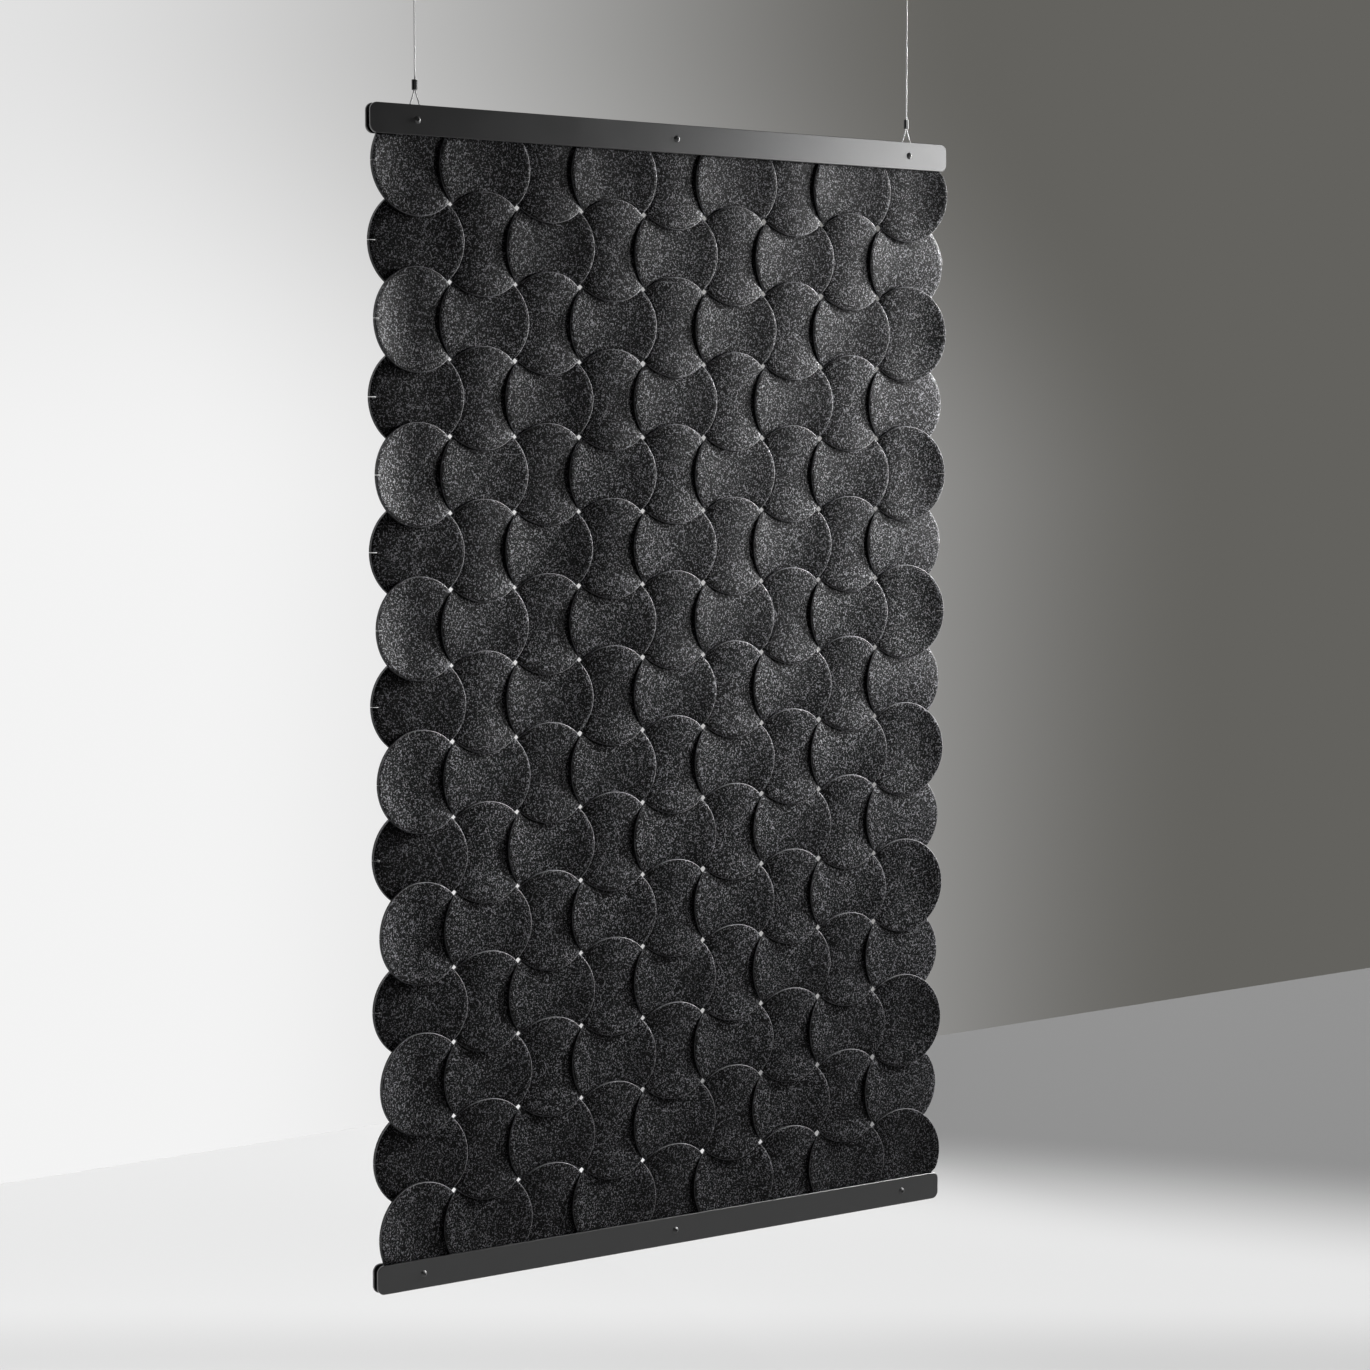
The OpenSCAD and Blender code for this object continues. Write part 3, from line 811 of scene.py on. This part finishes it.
# The ways along which its painted shade and light change, and how far along them each change starts and
# ends
TO_PAINTED_SHADE, PAINTED_SHADE_SPAN = (1.0, 0.75, 0.0), (1.8, 2.75)
TO_RIGHT, RIGHT_SHADE_SPAN = (1.0, 0.0, 0.0), (1.0, 1.5)
AWAY, NEAR_SHADE_SPAN, FAR_LIGHT_SPAN = (0.55, 0.83, 0.0), (0.72, 1.02), (1.2, 2.0)
floor = new_piece("floor", [(x, y, FLOOR_Z) for x, y in FLOOR_CORNERS], [[0, 1, 2, 3]])
floor_paint, floor_tree, floor_shader = new_material("pale floor", (0.8, 0.8, 0.8), roughness=0.7)
floor_place = add_node(floor_tree, "ShaderNodeTexCoord")


def floor_ramp(way, span, low, high):
    """A soft ramp over the floor from low to high, along the sum of its x and y times a way's."""
    along = add_node(floor_tree, "ShaderNodeVectorMath", {1: way}, operation="DOT_PRODUCT")
    floor_tree.links.new(floor_place.outputs["Object"], along.inputs[0])
    return ramp(floor_tree, along.outputs["Value"], *span, low, high)


def seen_rays(tree):
    """1 for a ray that comes from the camera, off a glossy surface or through a clear one, else 0."""
    rays = add_node(tree, "ShaderNodeLightPath")
    kinds = ("Is Camera Ray", "Is Glossy Ray", "Is Transmission Ray")
    return reckoned(tree, "MAXIMUM", *(rays.outputs[kind] for kind in kinds))


# Painted shade: darker towards the wall's right side and near the camera, a little lighter far off
painted_shade_share = reckoned(
    floor_tree,
    "MULTIPLY",
    floor_ramp(TO_PAINTED_SHADE, PAINTED_SHADE_SPAN, 0.0, 1.0),
    floor_ramp(TO_RIGHT, RIGHT_SHADE_SPAN, 0.0, 1.0),
)
shown_with_painted_shade = reckoned(
    floor_tree,
    "MULTIPLY",
    ramp(floor_tree, painted_shade_share, 0.0, 1.0, FLOOR_PALE, FLOOR_SHADED_TONE, "LINEAR"),
    floor_ramp(AWAY, NEAR_SHADE_SPAN, FLOOR_NEAR_SHADE, 1.0),
    floor_ramp(AWAY, FAR_LIGHT_SPAN, 1.0, FLOOR_FAR_LIGHT),
)
floor_tone = blended(floor_tree, seen_rays(floor_tree), FLOOR_BOUNCE, shown_with_painted_shade, "FLOAT")
floor_tree.links.new(floor_tone, floor_shader.inputs["Base Color"])
floor_shader.inputs["Specular IOR Level"].default_value = 0.1
paint(floor, floor_paint)

# Light
# Three soft lamps stand to the right: one in front of the panel, one almost beside it, and one higher up
# that shades the lower rims. A fourth only shows as a glint on the top bar.
MIDDLE, LOWER, TOP_BAR = (0.0, 0.0, -0.75), (0.05, 0.0, -0.78), (0.0, 0.0, -0.21)
LAMPS = {
    "key": {
        "place": (1.18, -0.92, -0.65), "aim": MIDDLE, "size": (0.3, 0.4), "spread": 110, "power": 1.8
    },
    "side": {
        "place": (1.49, -0.16, -0.645), "aim": MIDDLE, "size": (0.3, 0.4), "spread": 110, "power": 6.4
    },
    "high": {
        "place": (1.90, -0.40, 0.10), "aim": LOWER, "size": (0.3, 0.4), "spread": 50, "power": 8.0
    },
    "glint": {
        "place": (1.30, -1.00, -0.10), "aim": TOP_BAR, "size": (0.6, 0.35), "spread": 180, "power": 6.3
    },
}
for label, facts in LAMPS.items():
    lamp = bpy.data.lights.new(f"{label} lamp", "AREA")
    lamp.shape, lamp.energy = "RECTANGLE", facts["power"]
    lamp.size, lamp.size_y = facts["size"]
    lamp.spread = math.radians(facts["spread"])
    holder = bpy.data.objects.new(f"{label} lamp", lamp)
    bpy.context.scene.collection.objects.link(holder)
    holder.location = facts["place"]
    toward = Vector(facts["aim"]) - Vector(facts["place"])
    holder.rotation_euler = toward.to_track_quat("-Z", "Y").to_euler()
    holder.visible_camera = False
    holder.visible_diffuse = label != "glint"

# Room
# The bright side of the room behind the panel lights the floor and the panel's back. Where the room is
# seen it is pale at the left, darker at the right with painted shade, and paler again in front of the
# panel.
ROOM_LIGHT, DIM_LIGHT = 2.6, 0.04
WALL_PALE, WALL_PALE_HIGH = 0.90, 0.765
WALL_PAINTED_SHADE = (0.125, 0.122, 0.112, 1.0)
FRONT_PALE, FRONT_MIRRORED = 0.54, 0.03
TOP_SHIFT = math.radians(4.6)
# Where each change starts and ends: heights and depths are the z and y of a direction of length 1, and
# bearings are its angles from +Y towards +X
WALL_HEIGHTS, SHADE_BEARINGS, FRONT_DEPTHS = (-0.02, 0.15), (0.42, 0.772), (0.3, -0.2)
BRIGHT_DEPTHS, BRIGHT_HEIGHTS = (0.0, 0.35), (-0.05, 0.2)
room = bpy.data.worlds.new("studio")
bpy.context.scene.world = room
room.use_nodes = True
sky = room.node_tree
sky.nodes.clear()
sky_link = sky.links.new
split = add_node(sky, "ShaderNodeSeparateXYZ")
sky_link(add_node(sky, "ShaderNodeTexCoord").outputs["Generated"], split.inputs[0])
way_x, way_y, way_z = (split.outputs[axis] for axis in "XYZ")

shift = ramp(sky, way_z, *WALL_HEIGHTS, 0.0, TOP_SHIFT)
bearing = reckoned(sky, "ADD", reckoned(sky, "ARCTAN2", way_x, way_y), shift)
pale_tone = ramp(sky, way_z, *WALL_HEIGHTS, WALL_PALE, WALL_PALE_HIGH)
# Painted shade: the seen wall turns darker towards the right
wall_tone = blended(sky, ramp(sky, bearing, *SHADE_BEARINGS, 0.0, 1.0), pale_tone, WALL_PAINTED_SHADE)
rays = add_node(sky, "ShaderNodeLightPath")
front_tone = blended(sky, rays.outputs["Is Camera Ray"], FRONT_MIRRORED, FRONT_PALE, "FLOAT")
seen = add_node(sky, "ShaderNodeBackground")
in_front = ramp(sky, way_y, *FRONT_DEPTHS, 0.0, 1.0)
sky_link(blended(sky, in_front, wall_tone, front_tone), seen.inputs["Color"])

bright_side = reckoned(
    sky,
    "MULTIPLY",
    ramp(sky, way_y, *BRIGHT_DEPTHS, 0.0, 1.0),
    ramp(sky, way_z, *BRIGHT_HEIGHTS, 0.0, 1.0),
    ROOM_LIGHT,
)
lit = add_node(sky, "ShaderNodeBackground", {"Color": (1.0, 1.0, 1.0, 1.0)})
sky_link(reckoned(sky, "ADD", bright_side, DIM_LIGHT), lit.inputs["Strength"])
choose = add_node(sky, "ShaderNodeMixShader")
ending = add_node(sky, "ShaderNodeOutputWorld")
sky_link(seen_rays(sky), choose.inputs["Fac"])
sky_link(lit.outputs[0], choose.inputs[1])
sky_link(seen.outputs[0], choose.inputs[2])
sky_link(choose.outputs[0], ending.inputs["Surface"])
bpy.context.scene.view_settings.view_transform = "Standard"
